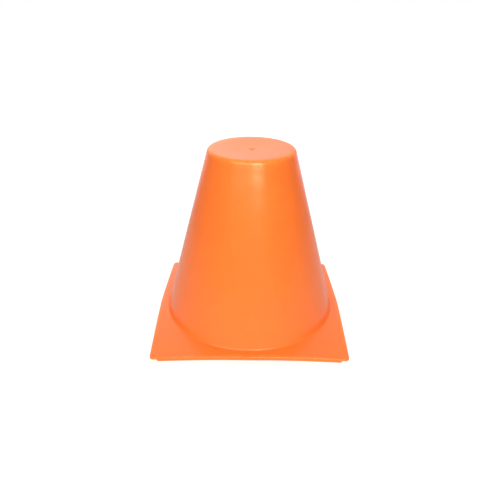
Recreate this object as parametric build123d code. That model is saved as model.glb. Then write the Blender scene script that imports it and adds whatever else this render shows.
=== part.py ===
"""Sports marker cone: a hollow flat-topped cone on a square base flange that stands on four edge skirts.

Millimetres, +Z up. The origin is on the floor, under the middle of the base, and +Z is the axis of the cone.
The front side of the base faces -Y.
"""

import os
from math import atan, cos, hypot, radians, tan

from build123d import *

# Cone
HEIGHT = 150.0  # floor to the rim of the top
TOP_RADIUS = 35.3  # outside of the cap at the rim, before its edge is rounded
WALL = 1.4  # thickness of the conical wall
ROOT_FILLET = 1.5  # outside corner between the wall and the flange
COLLAR_HEIGHT = 3.0  # stub of wall that belongs to the flange

# Top cap
CAP_DROP = 10.3  # rim down to the witness ring, where the cap meets the wall
CAP_FLARE = 0.25  # at the rim, the cap's side stands this far out from the line of the wall
RING_STEP = 0.05  # the wall stands this far proud of the cap at the witness ring
TOP_WALL = 1.6  # thickness of the top
TOP_ROUND = 3.4  # radius of the top's outer edge
RIM_WIDTH = 3.5  # flat rim inside the rounded edge
DISH_DEPTH = 1.2  # the middle of the top lies this far below the rim
PAD_RADIUS = 8.0  # flat middle of the dish
GATE_RADIUS = 1.3  # stub left where the moulding was cut from its runner
GATE_HEIGHT = 0.25  # stub above the pad
GATE_WELL_RADIUS = 3.2  # shallow well around the stub
GATE_WELL_DEPTH = 0.3

# Base flange
BASE_SIDE = 157.7  # between the corners along one side, before they are rounded
SIDE_BREAK = 1.6  # the middle of each side stands out this far past its corners
FOOT_MARGIN = 5.75  # from the straight line between two corners in to the foot of the wall
CORNER_RADIUS = 3.5
BREAK_RADIUS = 60.0  # softens the break at the middle of each side
PLATE = 1.6  # thickness of the flange
FLANGE_FALL = 6.0  # degrees by which the flange falls away from the wall
EDGE_ROUND = 0.5  # upper edge of the flange
SEAM_TURN = 30.0  # degrees by which the seam of the turned plate lies off the middle of a side

# Edge skirts
SKIRT_DEPTH = 2.0  # below the flange
SKIRT_WALL = 1.5
SKIRT_SETBACK = 0.3  # behind the edge of the flange
SKIRT_CORNER_GAP = 5.6  # the skirt stops this far short of the corner
SKIRT_END_TAPER = 1.0  # the end leans in by this much over its depth
SKIRT_LAND = 0.2  # depth trimmed flat at the lowest ends, which stand on the floor

SIDES = ["front", "right", "back", "left"]

# Lines of the profile, worked out from the sizes above
HALF = BASE_SIDE / 2
FOOT_RADIUS = HALF - FOOT_MARGIN  # outside of the wall where it meets the flange, before the root fillet
FALL = tan(radians(FLANGE_FALL))
PLATE_RISE = PLATE / cos(radians(FLANGE_FALL))  # thickness measured upright
REACH = hypot(HALF, HALF) + SIDE_BREAK + CORNER_RADIUS  # past the corners, to be cut to the outline


def side_line(along, setback=0.0):
    """Distance from the middle of the base to a side, at a place along that side."""
    return HALF + SIDE_BREAK * (1 - abs(along) / HALF) - setback


SKIRT_END = HALF - SKIRT_CORNER_GAP  # half length of a skirt where it meets the flange
SKIRT_TIP = SKIRT_END - SKIRT_END_TAPER  # and at its lower edge
TIP_RADIUS = hypot(SKIRT_TIP, side_line(SKIRT_TIP, SKIRT_SETBACK))
FOOT_Z = (TIP_RADIUS - FOOT_RADIUS) * FALL + PLATE_RISE + SKIRT_DEPTH - SKIRT_LAND

WALL_TOP_RADIUS = TOP_RADIUS - CAP_FLARE
WALL_SLOPE = (FOOT_RADIUS - WALL_TOP_RADIUS) / (HEIGHT - FOOT_Z)
WALL_ACROSS = WALL / cos(atan(WALL_SLOPE))  # thickness measured level
RING_Z = HEIGHT - CAP_DROP
COLLAR_Z = FOOT_Z + COLLAR_HEIGHT
PAD_Z = HEIGHT - DISH_DEPTH
RIM_INNER = TOP_RADIUS - TOP_ROUND - RIM_WIDTH


def wall_radius(z):
    """Outside radius of the wall at a height."""
    return FOOT_RADIUS - (z - FOOT_Z) * WALL_SLOPE


def flange_z(radius):
    """Height of the flange's upper face at a radius."""
    return FOOT_Z - (radius - FOOT_RADIUS) * FALL


def inner_foot():
    """Corner where the inside of the wall meets the underside of the flange."""
    z = FOOT_Z + (WALL_ACROSS * FALL - PLATE_RISE) / (1 - WALL_SLOPE * FALL)
    return wall_radius(z) - WALL_ACROSS, z


def round_corner(face, corner, radius):
    """Rounds the corner of a flat face that lies nearest to a point."""
    return fillet(face.vertices().sort_by_distance(corner)[0], radius)


def shell_profile():
    """Half section through the whole moulding, as a flat face with radius along X and height along Y."""
    rim_edge = (TOP_RADIUS, HEIGHT)
    foot_corner = (FOOT_RADIUS, FOOT_Z)
    ceiling = HEIGHT - TOP_WALL
    ceiling_corner = (wall_radius(ceiling) - RING_STEP - WALL_ACROSS, ceiling)
    under_foot = inner_foot()
    cap_foot = wall_radius(RING_Z) - RING_STEP
    upper_side = [
        (0, PAD_Z + GATE_HEIGHT),
        (GATE_RADIUS, PAD_Z + GATE_HEIGHT),
        (GATE_RADIUS, PAD_Z - GATE_WELL_DEPTH),
        (GATE_WELL_RADIUS - GATE_WELL_DEPTH, PAD_Z - GATE_WELL_DEPTH),
        (GATE_WELL_RADIUS, PAD_Z),
        (PAD_RADIUS, PAD_Z),
        (RIM_INNER, HEIGHT),
        rim_edge,
        (cap_foot, RING_Z),
        (wall_radius(RING_Z), RING_Z),
        foot_corner,
        (REACH, flange_z(REACH)),
    ]
    lower_side = [
        (REACH, flange_z(REACH) - PLATE_RISE),
        under_foot,
        ceiling_corner,
        (RIM_INNER, ceiling),
        (PAD_RADIUS, PAD_Z - TOP_WALL),
        (0, PAD_Z - TOP_WALL),
    ]
    face = make_face(Polyline(*upper_side, *lower_side, close=True))
    face = round_corner(face, rim_edge, TOP_ROUND)
    face = round_corner(face, ceiling_corner, TOP_ROUND - WALL)
    face = round_corner(face, foot_corner, ROOT_FILLET)
    return round_corner(face, under_foot, ROOT_FILLET + PLATE)


def turned(profile, low, high):
    """The part of a half section between two heights, turned about the cone's axis."""
    band = Pos(REACH / 2, (low + high) / 2) * Rectangle(REACH, high - low)
    return revolve(Plane.XZ * (profile & band), Axis.Z)


def top_cap(profile):
    return turned(profile, RING_Z, HEIGHT)


def cone_wall(profile):
    return turned(profile, COLLAR_Z, RING_Z)


def base_outline():
    """Plan of the base: a square with rounded corners whose sides break outwards at their middles."""
    middle = side_line(0)
    corner_signs = [(-1, -1), (1, -1), (1, 1), (-1, 1)]
    corners = [(HALF * x, HALF * y) for x, y in corner_signs]
    middles = [(0, -middle), (middle, 0), (0, middle), (-middle, 0)]
    points = [point for pair in zip(corners, middles) for point in pair]
    plan = make_face(Polyline(*points, close=True))
    for corner in corners:
        plan = round_corner(plan, corner, CORNER_RADIUS)
    for break_point in middles:
        plan = round_corner(plan, break_point, BREAK_RADIUS)
    return plan


def is_upper_outline(edge):
    """Whether an edge of the flange runs along its outline, at the upper face."""
    middle = edge @ 0.5
    on_outline = max(abs(middle.X), abs(middle.Y)) > HALF - CORNER_RADIUS
    off_face = flange_z(hypot(middle.X, middle.Y)) - middle.Z
    return on_outline and off_face < PLATE_RISE / 2 and edge.geom_type != GeomType.LINE


def base_flange(profile):
    lowest = flange_z(REACH) - PLATE_RISE
    plate = Rot(0, 0, SEAM_TURN) * turned(profile, lowest, COLLAR_Z)
    plate &= Pos(0, 0, lowest) * extrude(base_outline(), COLLAR_Z - lowest)
    return fillet([edge for edge in plate.edges() if is_upper_outline(edge)], EDGE_ROUND)


def skirt_band():
    """Ring under the flange that is as deep as the skirts and follows the flange's fall."""
    inner = FOOT_RADIUS
    top = [(r, flange_z(r) - PLATE_RISE) for r in (inner, REACH)]
    bottom = [(r, z - SKIRT_DEPTH) for r, z in reversed(top)]
    return revolve(Plane.XZ * make_face(Polyline(*top, *bottom, close=True)), Axis.Z)


def front_skirt():
    """Skirt of the side that faces -Y, in two straight halves that meet at the middle of the side."""
    outer = [(x, -side_line(x, SKIRT_SETBACK)) for x in (-HALF, 0, HALF)]
    inner = [(x, y + SKIRT_WALL) for x, y in reversed(outer)]
    bar = extrude(make_face(Polyline(*outer, *inner, close=True)), FOOT_Z)
    tip_z = flange_z(TIP_RADIUS) - PLATE_RISE - SKIRT_DEPTH
    end_z = tip_z + SKIRT_DEPTH
    lean = SKIRT_END_TAPER / SKIRT_DEPTH
    crown = SKIRT_END + (FOOT_Z - end_z) * lean
    ends = [(-SKIRT_TIP, tip_z), (SKIRT_TIP, tip_z), (crown, FOOT_Z), (-crown, FOOT_Z)]
    span = extrude(Plane.XZ * make_face(Polyline(*ends, close=True)), REACH)
    return bar & span & skirt_band()


def main():
    os.makedirs("parts", exist_ok=True)
    profile = shell_profile()
    nodes = {
        "top_cap": top_cap(profile),
        "cone_wall": cone_wall(profile),
        "base_flange": base_flange(profile),
    }
    skirt = front_skirt()
    for turn, side in enumerate(SIDES):
        nodes[f"edge_skirt_{side}"] = Rot(0, 0, 90 * turn) * skirt
    for name, shape in nodes.items():
        export_step(shape, f"parts/{name}.step")


main()
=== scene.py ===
"""Looks of the sports marker cone: satin orange plastic, moulded in one shot, on a white studio floor."""

from math import atan, atan2, cos, hypot, pi, radians, sin, tan

import bpy
from mathutils import Matrix, Vector

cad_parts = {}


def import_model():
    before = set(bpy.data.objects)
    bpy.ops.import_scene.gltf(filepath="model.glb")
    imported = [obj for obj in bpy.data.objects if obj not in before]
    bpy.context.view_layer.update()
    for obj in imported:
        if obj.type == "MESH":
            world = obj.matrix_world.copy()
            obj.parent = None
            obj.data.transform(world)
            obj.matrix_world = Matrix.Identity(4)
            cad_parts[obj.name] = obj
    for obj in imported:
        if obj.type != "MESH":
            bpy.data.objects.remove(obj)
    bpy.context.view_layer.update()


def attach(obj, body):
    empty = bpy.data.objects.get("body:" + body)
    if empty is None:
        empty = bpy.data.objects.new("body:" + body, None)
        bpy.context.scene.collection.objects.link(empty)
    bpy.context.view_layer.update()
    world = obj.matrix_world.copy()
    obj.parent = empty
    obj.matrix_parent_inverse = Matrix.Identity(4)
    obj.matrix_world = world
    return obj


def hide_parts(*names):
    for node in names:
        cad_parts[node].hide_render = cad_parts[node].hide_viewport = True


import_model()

MM = 0.001  # the sizes of the object are in millimetres

# Cone
HEIGHT = 150.0  # floor to the rim of the top
TOP_RADIUS = 35.3  # outside of the cap at the rim, before it is eased and its edge is rounded
WALL = 1.4  # thickness of the conical wall
ROOT_FILLET = 1.5  # outside corner between the wall and the flange
COLLAR_HEIGHT = 3.0  # stub of wall that belongs to the flange

# Top cap
CAP_DROP = 10.3  # rim down to the witness ring, where the cap meets the wall
CAP_FLARE = 0.25  # the top radius stands this far out from the line of the wall
CAP_EASE = 0.24  # the cap's side leans in by this much at the rim, to run on into the wall
RING_STEP = 0.05  # the line of the wall stands this far proud of the cap at the witness ring
RING_RAMP = 7.0  # height over which the wall comes out to its own line below the witness ring
RING_ROUND = 400.0  # softens the lower end of that ramp
TOP_WALL = 1.6  # thickness of the top
TOP_ROUND = 3.4  # radius of the top's outer edge
RIM_WIDTH = 3.5  # flat rim inside the rounded edge
DISH_DEPTH = 1.2  # the middle of the top lies this far below the rim
DISH_ROUND = 60.0  # softens the borders of the dish
PAD_RADIUS = 8.0  # flat middle of the dish
GATE_RADIUS = 1.3  # stub left where the moulding was cut from its runner
GATE_HEIGHT = 0.25  # stub above the pad
GATE_ROUND = 0.12  # edge and foot of the stub
WELL_RADIUS = 3.2  # shallow well around the stub
WELL_DEPTH = 0.3
WELL_FLOOR_ROUND = 0.25
WELL_EDGE_ROUND = 0.35

# Base flange
BASE_SIDE = 157.7  # between the corners along one side, before they are rounded
SIDE_BREAK = 1.6  # the middle of each side stands out this far past its corners
FOOT_MARGIN = 5.75  # from the straight line between two corners in to the foot of the wall
CORNER_RADIUS = 3.5
BREAK_RADIUS = 60.0  # softens the break at the middle of each side
PLATE = 1.6  # thickness of the flange
FLANGE_FALL = 6.0  # degrees by which the flange falls away from the wall
EDGE_ROUND = 0.5  # upper edge of the flange
UNDER_EDGE_ROUND = 0.2  # and its lower edge

# Edge skirts
SKIRT_DEPTH = 2.0  # below the flange
SKIRT_WALL = 1.5
SKIRT_SETBACK = 0.3  # behind the edge of the flange
SKIRT_CORNER_GAP = 5.6  # the skirt stops this far short of the corner
SKIRT_END_TAPER = 1.0  # the end leans in by this much over its depth
SKIRT_LAND = 0.2  # depth trimmed flat at the lowest ends, which stand on the floor
SKIRT_EDGE_ROUND = 0.35  # the two long lower edges
SKIRT_BEVEL = 0.2  # the other edges

SIDES = ["front", "right", "back", "left"]

# Fineness of the meshes
SEGMENTS = 288  # round the cone
ARC_STEPS = 8  # along each rounding
ARC_MARGIN = 1.12  # an extra point past each end of an arc keeps the straight runs evenly shaded
HALF_SIDE_STEPS = 36  # along half a side of the base
FLANGE_RINGS = 6  # from the root fillet out to the edge
SHARP_ANGLE = 32  # degrees between two faces, above which their edge is shaded sharp
BEVEL_ANGLE = 50  # degrees between two faces, above which their edge is bevelled
BEVEL_STEPS = 2

# Plastic
PLASTIC_IOR = 1.54
ORANGE_DEEP = (0.96, 0.208, 0.046, 1)
ORANGE_PALE = (1.0, 0.235, 0.053, 1)
# paler colour at the rubbed edges: partly real wear, partly a painted highlight
ORANGE_WORN_AND_HIGHLIGHT = (1.0, 0.33, 0.082, 1)
SATIN = (0.21, 0.24)  # roughness where the face is smoothest and dullest
WORN_AND_HIGHLIGHT_SHARE = 0.6  # of the paler colour, where the rub and painted highlight are strongest
RUB_ROUGHNESS = 0.03  # added where the rub and painted highlight are strongest
RIM_RUB_AND_HIGHLIGHT = 1.6  # distance over which the rub and painted highlight at the rim fade
RIM_LOSS = 0.6  # share of the top's edge radius that its rounding takes off radius and height together
BORDER_RUB_AND_HIGHLIGHT = 2.5  # distance over which the rub and painted highlight at the border of the base fade
WAVE_HEIGHT = 0.18  # slow unevenness of the moulded faces
PEEL_HEIGHT = 0.006  # fine grain of the mould

# Floor, in metres; each ramp goes from one place to another, and from one level of light to another
FLOOR_REACH = 6.0
FLOOR_GREY = (0.35, 0.35, 0.35, 1)
FLOOR_SEEN = ((0.1, 0.5), (0.8, 1.0))  # to the camera, with the distance from the object
FLOOR_NEAR_GLOW = ((0.25, 0.7), (0.35, 0.0))  # in reflections, with the distance from the object
FLOOR_BACK_GLOW = ((0.08, 0.32), (0.0, 1.0))  # in reflections, with the depth behind the object
BACK_GLOW_POWER = 4  # keeps that glow straight behind the object

# Lamps, in metres
LAMP_AIM = Vector((0, 0, 0.07))
LAMP_DISTANCE = 1.2
WHITE = (1, 1, 1)
WARM = (1.0, 0.85, 0.57)  # light of the lamps in front
ROSE = (1.0, 0.4, 0.48)  # light of the lamps that graze the sides from behind

# Room around the object, as a light by its direction
ROOM_WARM = (1.0, 0.97, 0.86, 1)
ROOM_WHITE = (1, 1, 1, 1)
ROOM_DARK = 0.01  # level in front
ROOM_UPWARD = ((0, 0.5), (0.86, 1.64))  # levels from the horizon upwards
ROOM_LEFTWARD = ((-0.1, 0.1), (0.15, -0.3))  # added from left to right
ROOM_BACK_POWER = 2  # keeps the room's light behind the object

# Camera, fitted to the outline in the photograph
CAMERA_PLACE = (0, -0.40599, 0.26667)  # metres
CAMERA_AROUND = -0.0091  # radians about the cone's axis
CAMERA_PITCH = 0.473  # radians below the horizon
CAMERA_ROLL = 0.0145  # radians
CAMERA_LENS = 37.71  # millimetres, on the sensor below
CAMERA_SENSOR = 36
CAMERA_SHIFT = -0.0005  # share of the picture's width
CAMERA_NEAR = 0.01  # metres

# Lines of the half section, worked out from the sizes above
HALF = BASE_SIDE / 2
FOOT_RADIUS = HALF - FOOT_MARGIN  # outside of the wall where it meets the flange, before the root fillet
FALL = tan(radians(FLANGE_FALL))
PLATE_RISE = PLATE / cos(radians(FLANGE_FALL))  # thickness measured upright


def side_line(along, setback=0.0):
    """Distance from the middle of the base to a side, at a place along that side."""
    return HALF + SIDE_BREAK * (1 - abs(along) / HALF) - setback


SKIRT_END = HALF - SKIRT_CORNER_GAP  # half length of a skirt where it meets the flange
SKIRT_TIP = SKIRT_END - SKIRT_END_TAPER  # and at its lower edge
TIP_RADIUS = hypot(SKIRT_TIP, side_line(SKIRT_TIP, SKIRT_SETBACK))
FOOT_Z = (TIP_RADIUS - FOOT_RADIUS) * FALL + PLATE_RISE + SKIRT_DEPTH - SKIRT_LAND
WALL_SLOPE = (FOOT_RADIUS - TOP_RADIUS + CAP_FLARE) / (HEIGHT - FOOT_Z)
WALL_ACROSS = WALL / cos(atan(WALL_SLOPE))  # thickness measured level
RING_Z = HEIGHT - CAP_DROP
COLLAR_Z = FOOT_Z + COLLAR_HEIGHT
PAD_Z = HEIGHT - DISH_DEPTH
STUB_Z = PAD_Z + GATE_HEIGHT
RIM_INNER = TOP_RADIUS - TOP_ROUND - RIM_WIDTH


def wall_radius(z):
    """Outside radius of the wall at a height."""
    return FOOT_RADIUS - (z - FOOT_Z) * WALL_SLOPE


def flange_z(radius):
    """Height of the flange's upper face at a radius."""
    return FOOT_Z - (radius - FOOT_RADIUS) * FALL


RING_RADIUS = wall_radius(RING_Z) - RING_STEP


# Mesh helpers


def rounded_path(corners):
    """Points along a path of corners (x, y, round), with an arc at each corner whose round isn't zero."""
    path = []
    count = len(corners)
    for index, (x, y, rounding) in enumerate(corners):
        here = Vector((x, y))
        if rounding == 0:
            path.append(here)
            continue
        before = (Vector(corners[index - 1][:2]) - here).normalized()
        after = (Vector(corners[(index + 1) % count][:2]) - here).normalized()
        half_angle = before.angle(after) / 2
        centre = here + (before + after).normalized() * (rounding / sin(half_angle))
        reach = rounding / tan(half_angle)
        start = here + before * reach - centre
        end = here + after * reach - centre
        begin = atan2(start.y, start.x)
        sweep = (atan2(end.y, end.x) - begin + pi) % (2 * pi) - pi
        path.append(here + before * reach * ARC_MARGIN)
        for step in range(ARC_STEPS + 1):
            angle = begin + sweep * step / ARC_STEPS
            path.append(centre + Vector((cos(angle), sin(angle))) * rounding)
        path.append(here + after * reach * ARC_MARGIN)
    return path


def piece(name, points, faces, cad_node):
    """A smooth-shaded mesh in the shared frame, from points in millimetres, that stands for one CAD node."""
    mesh = bpy.data.meshes.new(name)
    mesh.from_pydata([Vector(point) * MM for point in points], [], faces)
    mesh.shade_smooth()
    mesh.set_sharp_from_angle(angle=radians(SHARP_ANGLE))
    mesh.validate()
    made = bpy.data.objects.new(name, mesh)
    bpy.context.scene.collection.objects.link(made)
    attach(made, "root")
    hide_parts(cad_node)
    return made


def joined_rings(ring_starts, count, closed):
    """Quads between rings of equally many points, and from the last ring back to the first if closed."""
    faces = []
    pairs = list(zip(ring_starts, ring_starts[1:]))
    if closed:
        pairs.append((ring_starts[-1], ring_starts[0]))
    for upper, lower in pairs:
        for index in range(count):
            following = (index + 1) % count
            faces.append((upper + index, lower + index, lower + following, upper + following))
    return faces


def turned_rings(path):
    """Points of a half section turned about the cone's axis, with the place where each ring starts."""
    turns = [2 * pi * index / SEGMENTS for index in range(SEGMENTS)]
    points = [(spot.x * cos(turn), spot.x * sin(turn), spot.y) for spot in path for turn in turns]
    return points, [SEGMENTS * index for index in range(len(path))]


# Pieces of the cone


def cap_profile():
    """Half section of the cap from its gate stub out over the top, round the edge and back under the top."""
    ceiling = HEIGHT - TOP_WALL
    well_floor = PAD_Z - WELL_DEPTH
    return [
        (GATE_RADIUS, STUB_Z, GATE_ROUND),
        (GATE_RADIUS, well_floor, GATE_ROUND),
        (WELL_RADIUS - WELL_DEPTH, well_floor, WELL_FLOOR_ROUND),
        (WELL_RADIUS, PAD_Z, WELL_EDGE_ROUND),
        (PAD_RADIUS, PAD_Z, DISH_ROUND),
        (RIM_INNER, HEIGHT, DISH_ROUND),
        (TOP_RADIUS - CAP_EASE, HEIGHT, TOP_ROUND),
        (RING_RADIUS, RING_Z, 0),
        (wall_radius(RING_Z) - WALL_ACROSS, RING_Z, 0),
        (wall_radius(ceiling) - RING_STEP - WALL_ACROSS, ceiling, TOP_ROUND - WALL),
        (RIM_INNER, ceiling, DISH_ROUND),
        (PAD_RADIUS, PAD_Z - TOP_WALL, DISH_ROUND),
    ]


def top_cap():
    """Dished top with its rim, rounded edge and gate mark, closed by a fan of faces at both middles."""
    under_z = PAD_Z - TOP_WALL
    corners = [(0, STUB_Z, 0), *cap_profile(), (0, under_z, 0)]
    points, starts = turned_rings(rounded_path(corners)[1:-1])
    faces = joined_rings(starts, SEGMENTS, closed=False)
    above = len(points)
    below = above + 1
    points += [(0, 0, STUB_Z), (0, 0, under_z)]
    last = starts[-1]
    for index in range(SEGMENTS):
        following = (index + 1) % SEGMENTS
        faces.append((above, index, following))
        faces.append((below, last + following, last + index))
    return piece("cap_moulding", points, faces, "top_cap")


def cone_wall():
    """Conical wall from the witness ring down to the collar."""
    shoulder_z = RING_Z - RING_RAMP
    corners = [
        (RING_RADIUS, RING_Z, 0),
        (wall_radius(shoulder_z), shoulder_z, RING_ROUND),
        (wall_radius(COLLAR_Z), COLLAR_Z, 0),
        (wall_radius(COLLAR_Z) - WALL_ACROSS, COLLAR_Z, 0),
        (wall_radius(RING_Z) - WALL_ACROSS, RING_Z, 0),
    ]
    points, starts = turned_rings(rounded_path(corners))
    faces = joined_rings(starts, SEGMENTS, closed=True)
    return piece("wall_moulding", points, faces, "cone_wall")


def base_outline():
    """Points round the base, with the outward direction at each of them."""
    middle = side_line(0)
    corners = []
    for turn in range(4):
        angle = radians(90 * turn)
        for x, y, rounding in [(-HALF, -HALF, CORNER_RADIUS), (0, -middle, BREAK_RADIUS)]:
            corners.append((x * cos(angle) - y * sin(angle), x * sin(angle) + y * cos(angle), rounding))
    outline = []
    arcs = rounded_path(corners)
    for index, spot in enumerate(arcs):
        following = arcs[(index + 1) % len(arcs)]
        run = following - spot
        steps = HALF_SIDE_STEPS if run.length > CORNER_RADIUS * 2 else 1
        outline += [spot + run * (step / steps) for step in range(steps)]
    count = len(outline)
    outward = []
    for index in range(count):
        run = outline[(index + 1) % count] - outline[index - 1]
        outward.append(Vector((run.y, -run.x)).normalized())
    return list(zip(outline, outward))


def root_arc(rounding, above_flange, wall_inset):
    """Points (radius, height) round the corner of wall and flange, from the collar's top edge down."""
    corner_z = FOOT_Z + (wall_inset * FALL - above_flange) / (1 - WALL_SLOPE * FALL)
    corner_radius = wall_radius(corner_z) - wall_inset
    far_radius = corner_radius + 2 * rounding
    far_z = flange_z(far_radius) - above_flange
    collar = (wall_radius(COLLAR_Z) - wall_inset, COLLAR_Z, 0)
    return rounded_path([collar, (corner_radius, corner_z, rounding), (far_radius, far_z, 0)])[:-1]


def flange_column(spot, outward, upper_root, lower_root):
    """Points of the flange in one direction: over the top, round the edge and back underneath."""
    inset = spot - outward * EDGE_ROUND
    along = inset.normalized()
    upper = [(along * radius, z) for radius, z in upper_root]
    start = upper_root[-1].x
    for ring in range(1, FLANGE_RINGS):
        radius = start + (inset.length - start) * ring / FLANGE_RINGS
        upper.append((along * radius, flange_z(radius)))
    for step in range(ARC_STEPS + 1):
        angle = pi / 2 * step / ARC_STEPS
        place = spot - outward * EDGE_ROUND * (1 - sin(angle))
        upper.append((place, flange_z(place.length) - EDGE_ROUND * (1 - cos(angle))))
    lower = []
    for step in range(ARC_STEPS + 1):
        angle = pi / 2 * step / ARC_STEPS
        place = spot - outward * UNDER_EDGE_ROUND * (1 - cos(angle))
        drop = PLATE_RISE - UNDER_EDGE_ROUND * (1 - sin(angle))
        lower.append((place, flange_z(place.length) - drop))
    under_start = lower_root[-1].x
    for ring in range(1, FLANGE_RINGS):
        radius = inset.length + (under_start - inset.length) * ring / FLANGE_RINGS
        lower.append((along * radius, flange_z(radius) - PLATE_RISE))
    lower += [(along * radius, z) for radius, z in reversed(lower_root)]
    return [(place.x, place.y, z) for place, z in upper + lower]


def base_flange():
    """Square plate that falls away from the wall, with the root fillet and a stub of wall above it."""
    outline = base_outline()
    count = len(outline)
    upper_root = root_arc(ROOT_FILLET, 0, 0)
    lower_root = root_arc(ROOT_FILLET + PLATE, PLATE_RISE, WALL_ACROSS)
    columns = [flange_column(spot, outward, upper_root, lower_root) for spot, outward in outline]
    rings = len(columns[0])
    points = [column[ring] for ring in range(rings) for column in columns]
    starts = [count * ring for ring in range(rings)]
    faces = joined_rings(starts, count, closed=True)
    return piece("flange_moulding", points, faces, "base_flange")


def edge_skirt(side, turn):
    """Skirt under one side: a band that follows the flange's edge and leans in at both ends."""
    section = rounded_path(
        [
            (0, 0, 0),
            (SKIRT_WALL, 0, 0),
            (SKIRT_WALL, SKIRT_DEPTH, SKIRT_EDGE_ROUND),
            (0, SKIRT_DEPTH, SKIRT_EDGE_ROUND),
        ]
    )
    count = len(section)
    spin = Matrix.Rotation(radians(90 * turn), 3, "Z")
    steps = 2 * HALF_SIDE_STEPS
    points = []
    for step in range(steps + 1):
        share = 2 * step / steps - 1
        for back, depth in section:
            x = share * (SKIRT_END - SKIRT_END_TAPER * depth / SKIRT_DEPTH)
            y = -side_line(x, SKIRT_SETBACK) + back
            z = max(flange_z(hypot(x, y)) - PLATE_RISE - depth, 0)
            points.append(spin @ Vector((x, y, z)))
    starts = [count * step for step in range(steps + 1)]
    faces = joined_rings(starts, count, closed=False)
    faces.append(tuple(range(count)))
    faces.append(tuple(reversed(range(starts[-1], starts[-1] + count))))
    made = piece(f"skirt_moulding_{side}", points, faces, f"edge_skirt_{side}")
    bevel = made.modifiers.new("soft edges", "BEVEL")
    bevel.width = SKIRT_BEVEL * MM
    bevel.segments = BEVEL_STEPS
    bevel.limit_method = "ANGLE"
    bevel.angle_limit = radians(BEVEL_ANGLE)
    return made


# Shader helpers


def node(tree, kind, **settings):
    """A shader node with some of its settings and unlinked sockets filled in."""
    made = tree.nodes.new(kind)
    for name, value in settings.items():
        if hasattr(made, name):
            setattr(made, name, value)
        else:
            made.inputs[name].default_value = value
    return made


def feed(tree, socket, term):
    """Links a socket to another one, or sets it to a number or a colour."""
    if isinstance(term, bpy.types.NodeSocket):
        tree.links.new(term, socket)
    else:
        socket.default_value = term


def compute(tree, operation, first, second=0):
    """Output of a math node whose terms are numbers or sockets."""
    made = node(tree, "ShaderNodeMath", operation=operation)
    feed(tree, made.inputs[0], first)
    feed(tree, made.inputs[1], second)
    return made.outputs[0]


def weighted(tree, shares):
    """Sum of sockets, each times its own share."""
    total = 0
    for socket, share in shares:
        total = compute(tree, "ADD", total, compute(tree, "MULTIPLY", socket, share))
    return total


def mixed(tree, share, first, second):
    """Colour that goes from the first to the second as a share goes from 0 to 1."""
    made = node(tree, "ShaderNodeMix", data_type="RGBA")
    tree.links.new(share, made.inputs["Factor"])
    feed(tree, made.inputs["A"], first)
    feed(tree, made.inputs["B"], second)
    return made.outputs["Result"]


def axes(tree, place):
    """The X, Y and Z of a place or direction."""
    split = node(tree, "ShaderNodeSeparateXYZ")
    tree.links.new(place, split.inputs[0])
    return [split.outputs[axis] for axis in "XYZ"]


def noise(tree, place, grain, detail, stretch=(1, 1, 1)):
    """Noise of a grain in millimetres, which may be stretched along an axis; its values lie around 0.5."""
    mapping = node(tree, "ShaderNodeMapping")
    mapping.inputs["Scale"].default_value = [1 / (grain * MM * share) for share in stretch]
    tree.links.new(place, mapping.inputs["Vector"])
    made = node(tree, "ShaderNodeTexNoise", Scale=1.0, Detail=detail, Roughness=0.55)
    tree.links.new(mapping.outputs[0], made.inputs["Vector"])
    return made.outputs["Fac"]


def ramp(tree, value, reach, levels, kind):
    """A level that goes from the first to the second as a value crosses its reach."""
    made = node(tree, "ShaderNodeMapRange", interpolation_type=kind)
    for name, number in zip(["From Min", "From Max", "To Min", "To Max"], [*reach, *levels]):
        made.inputs[name].default_value = number
    tree.links.new(value, made.inputs["Value"])
    return made.outputs[0]


def spread(tree, value, low=0, high=1):
    """A value from 0.3 to 0.7, as noise mostly gives it, brought to a range of its own."""
    return ramp(tree, value, (0.3, 0.7), (low, high), "LINEAR")


def smooth_ramp(tree, value, reach, levels):
    """A ramp that starts and ends gently."""
    return ramp(tree, value, reach, levels, "SMOOTHSTEP")


# Materials


def edge_rub_and_highlight(tree, place):
    """How near a point is to the edges that get rubbed and carry a painted highlight: the rim of the top and
    the border of the base.
    """
    x, y, z = axes(tree, place)
    across = compute(tree, "ABSOLUTE", x)
    along = compute(tree, "ABSOLUTE", y)
    border = compute(tree, "MAXIMUM", across, along)
    squares = compute(tree, "ADD", compute(tree, "POWER", across, 2), compute(tree, "POWER", along, 2))
    rim_reach = compute(tree, "ADD", compute(tree, "SQRT", squares), z)
    border_at = HALF * MM
    rim_at = (HEIGHT + TOP_RADIUS - TOP_ROUND * RIM_LOSS) * MM
    near_border = smooth_ramp(tree, border, (border_at - BORDER_RUB_AND_HIGHLIGHT * MM, border_at), (0, 1))
    near_rim = smooth_ramp(tree, rim_reach, (rim_at - RIM_RUB_AND_HIGHLIGHT * MM, rim_at), (0, 1))
    return compute(tree, "MAXIMUM", near_border, near_rim)


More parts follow.
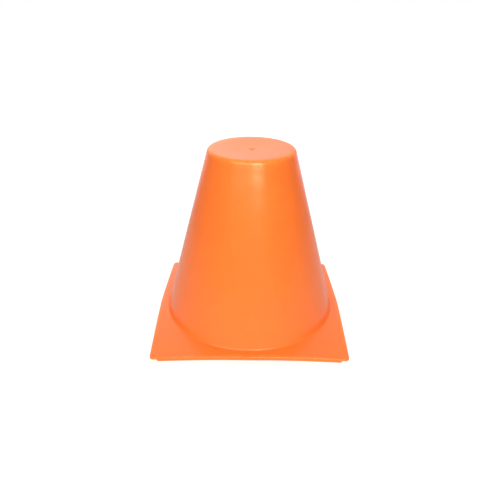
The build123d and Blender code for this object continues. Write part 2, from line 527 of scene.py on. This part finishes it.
def orange_plastic():
    """Satin polyethylene coloured right through, a little cloudy, with the fine grain of its mould, paler at
    its edges partly from wear and partly as a painted highlight.
    """
    material = bpy.data.materials.new("orange plastic")
    material.use_nodes = True
    tree = material.node_tree
    shader = tree.nodes["Principled BSDF"]
    shader.inputs["IOR"].default_value = PLASTIC_IOR
    place = node(tree, "ShaderNodeTexCoord").outputs["Object"]
    clouds = spread(tree, noise(tree, place, grain=14, detail=3))
    flow = spread(tree, noise(tree, place, grain=5, detail=2, stretch=(1, 1, 9)))
    specks = spread(tree, noise(tree, place, grain=1.3, detail=2))
    patches = spread(tree, noise(tree, place, grain=2.5, detail=4))
    satin = spread(tree, noise(tree, place, grain=6, detail=4), *SATIN)
    waves = noise(tree, place, grain=16, detail=2)
    peel = noise(tree, place, grain=0.9, detail=3)
    rub_and_highlight = compute(tree, "MULTIPLY", edge_rub_and_highlight(tree, place), patches)
    mottle = weighted(tree, [(clouds, 0.4), (flow, 0.25), (specks, 0.35)])
    tint = mixed(tree, mottle, ORANGE_DEEP, ORANGE_PALE)
    # the paler colour at the edges is partly wear and partly a painted highlight
    worn_and_highlight = mixed(tree, compute(tree, "MULTIPLY", rub_and_highlight, WORN_AND_HIGHLIGHT_SHARE), tint, ORANGE_WORN_AND_HIGHLIGHT)
    tree.links.new(worn_and_highlight, shader.inputs["Base Color"])
    roughness = weighted(tree, [(satin, 1), (rub_and_highlight, RUB_ROUGHNESS)])
    tree.links.new(roughness, shader.inputs["Roughness"])
    bump = node(tree, "ShaderNodeBump", Strength=1.0, Distance=1.0)
    height = weighted(tree, [(waves, WAVE_HEIGHT * MM), (peel, PEEL_HEIGHT * MM)])
    tree.links.new(height, bump.inputs["Height"])
    tree.links.new(bump.outputs[0], shader.inputs["Normal"])
    return material


def floor_material():
    """Pale floor that takes the object's shadow.

    The camera sees it white, a little less so under the object. In reflections it glows near the object and
    straight behind it.
    """
    material = bpy.data.materials.new("white floor")
    material.use_nodes = True
    material.cycles.emission_sampling = "NONE"
    tree = material.node_tree
    tree.nodes.clear()
    place = node(tree, "ShaderNodeTexCoord").outputs["Object"]
    depth = axes(tree, place)[1]
    length = node(tree, "ShaderNodeVectorMath", operation="LENGTH")
    tree.links.new(place, length.inputs[0])
    distance = length.outputs["Value"]
    seen = smooth_ramp(tree, distance, *FLOOR_SEEN)
    near = smooth_ramp(tree, distance, *FLOOR_NEAR_GLOW)
    straight = compute(tree, "POWER", compute(tree, "DIVIDE", depth, distance), BACK_GLOW_POWER)
    backdrop = smooth_ramp(tree, depth, *FLOOR_BACK_GLOW)
    behind = compute(tree, "MULTIPLY", backdrop, straight)
    rays = node(tree, "ShaderNodeLightPath").outputs
    mirrored = compute(tree, "MAXIMUM", rays["Is Glossy Ray"], rays["Is Transmission Ray"])
    shown = compute(tree, "MULTIPLY", rays["Is Camera Ray"], seen)
    reflected = compute(tree, "MULTIPLY", mirrored, compute(tree, "MAXIMUM", near, behind))
    paint = node(tree, "ShaderNodeBsdfDiffuse", Color=FLOOR_GREY)
    glow = node(tree, "ShaderNodeEmission")
    tree.links.new(compute(tree, "ADD", shown, reflected), glow.inputs["Strength"])
    both = node(tree, "ShaderNodeAddShader")
    tree.links.new(paint.outputs[0], both.inputs[0])
    tree.links.new(glow.outputs[0], both.inputs[1])
    tree.links.new(both.outputs[0], node(tree, "ShaderNodeOutputMaterial").inputs["Surface"])
    return material


# Studio


def floor():
    """Large square under the object."""
    mesh = bpy.data.meshes.new("floor")
    low = -FLOOR_REACH
    high = FLOOR_REACH
    mesh.from_pydata([(low, low, 0), (high, low, 0), (high, high, 0), (low, high, 0)], [], [(0, 1, 2, 3)])
    made = bpy.data.objects.new("floor", mesh)
    bpy.context.scene.collection.objects.link(made)
    mesh.materials.append(floor_material())


def lamp(name, toward, size, power, tint=WHITE, distance=LAMP_DISTANCE, mirrored=True):
    """Soft box that looks at the object and isn't seen by the camera.

    It lies toward an azimuth, which is 0 in front and positive on the right, and an elevation, in degrees.
    A lamp that isn't mirrored lights the plastic but leaves no highlight on it.
    """
    light = bpy.data.lights.new(name, "AREA")
    light.shape = "RECTANGLE"
    light.size, light.size_y = size
    light.energy = power
    light.color = tint
    made = bpy.data.objects.new(name, light)
    bpy.context.scene.collection.objects.link(made)
    azimuth, elevation = toward
    turn = radians(azimuth)
    rise = radians(elevation)
    away = Vector((sin(turn) * cos(rise), -cos(turn) * cos(rise), sin(rise)))
    made.location = away * distance + LAMP_AIM
    made.rotation_euler = away.to_track_quat("Z", "Y").to_euler()
    made.visible_camera = False
    made.visible_glossy = mirrored


def lamps():
    """Two soft boxes in front, a small lamp close above the top, and a lamp behind each side of the wall."""
    lamp("wide soft box", toward=(-20, 33), size=(1.15, 0.75), power=11.2, tint=WARM)
    lamp("small soft box", toward=(16.5, 27), size=(0.45, 0.5), power=8.5, tint=WARM)
    lamp("overhead light", toward=(180, 84), size=(0.25, 0.25), power=0.27, distance=0.32, mirrored=False)
    lamp("left edge light", toward=(-142, 8), size=(0.6, 0.3), power=6.4, tint=ROSE, mirrored=False)
    lamp("right edge light", toward=(142, 8), size=(0.6, 0.3), power=8.6, tint=ROSE, mirrored=False)


def world():
    """Room that the camera sees white.

    To the object it is warm and dark in front, and bright behind, more so higher up and on the left.
    """
    made = bpy.data.worlds.new("studio")
    bpy.context.scene.world = made
    made.use_nodes = True
    tree = made.node_tree
    background = tree.nodes["Background"]
    camera_ray = node(tree, "ShaderNodeLightPath").outputs["Is Camera Ray"]
    tree.links.new(mixed(tree, camera_ray, ROOM_WARM, ROOM_WHITE), background.inputs["Color"])
    x, y, z = axes(tree, node(tree, "ShaderNodeTexCoord").outputs["Generated"])
    behind = compute(tree, "POWER", compute(tree, "MAXIMUM", y), ROOM_BACK_POWER)
    upward = smooth_ramp(tree, z, *ROOM_UPWARD)
    leftward = smooth_ramp(tree, x, *ROOM_LEFTWARD)
    uneven = compute(tree, "ADD", upward, leftward)
    room = compute(tree, "ADD", compute(tree, "MULTIPLY", behind, uneven), ROOM_DARK)
    tree.links.new(compute(tree, "MAXIMUM", room, camera_ray), background.inputs["Strength"])


def camera():
    """Camera at the photograph's place: in front of the cone, above it and looking down at it."""
    lens = bpy.data.cameras.new("camera")
    lens.sensor_width = CAMERA_SENSOR
    lens.lens = CAMERA_LENS
    lens.clip_start = CAMERA_NEAR
    lens.shift_x = CAMERA_SHIFT
    made = bpy.data.objects.new("camera", lens)
    bpy.context.scene.collection.objects.link(made)
    place = Matrix.Rotation(CAMERA_AROUND, 4, "Z") @ Matrix.Translation(CAMERA_PLACE)
    tilt = Matrix.Rotation(pi / 2 - CAMERA_PITCH, 4, "X")
    made.matrix_world = place @ tilt @ Matrix.Rotation(CAMERA_ROLL, 4, "Z")
    bpy.context.scene.camera = made


def build():
    """The cone's seven pieces in their plastic, and the studio around them."""
    plastic = orange_plastic()
    pieces = [top_cap(), cone_wall(), base_flange()]
    pieces += [edge_skirt(side, turn) for turn, side in enumerate(SIDES)]
    for made in pieces:
        made.data.materials.append(plastic)
    floor()
    world()
    lamps()
    camera()
    bpy.context.scene.view_settings.view_transform = "Standard"


build()
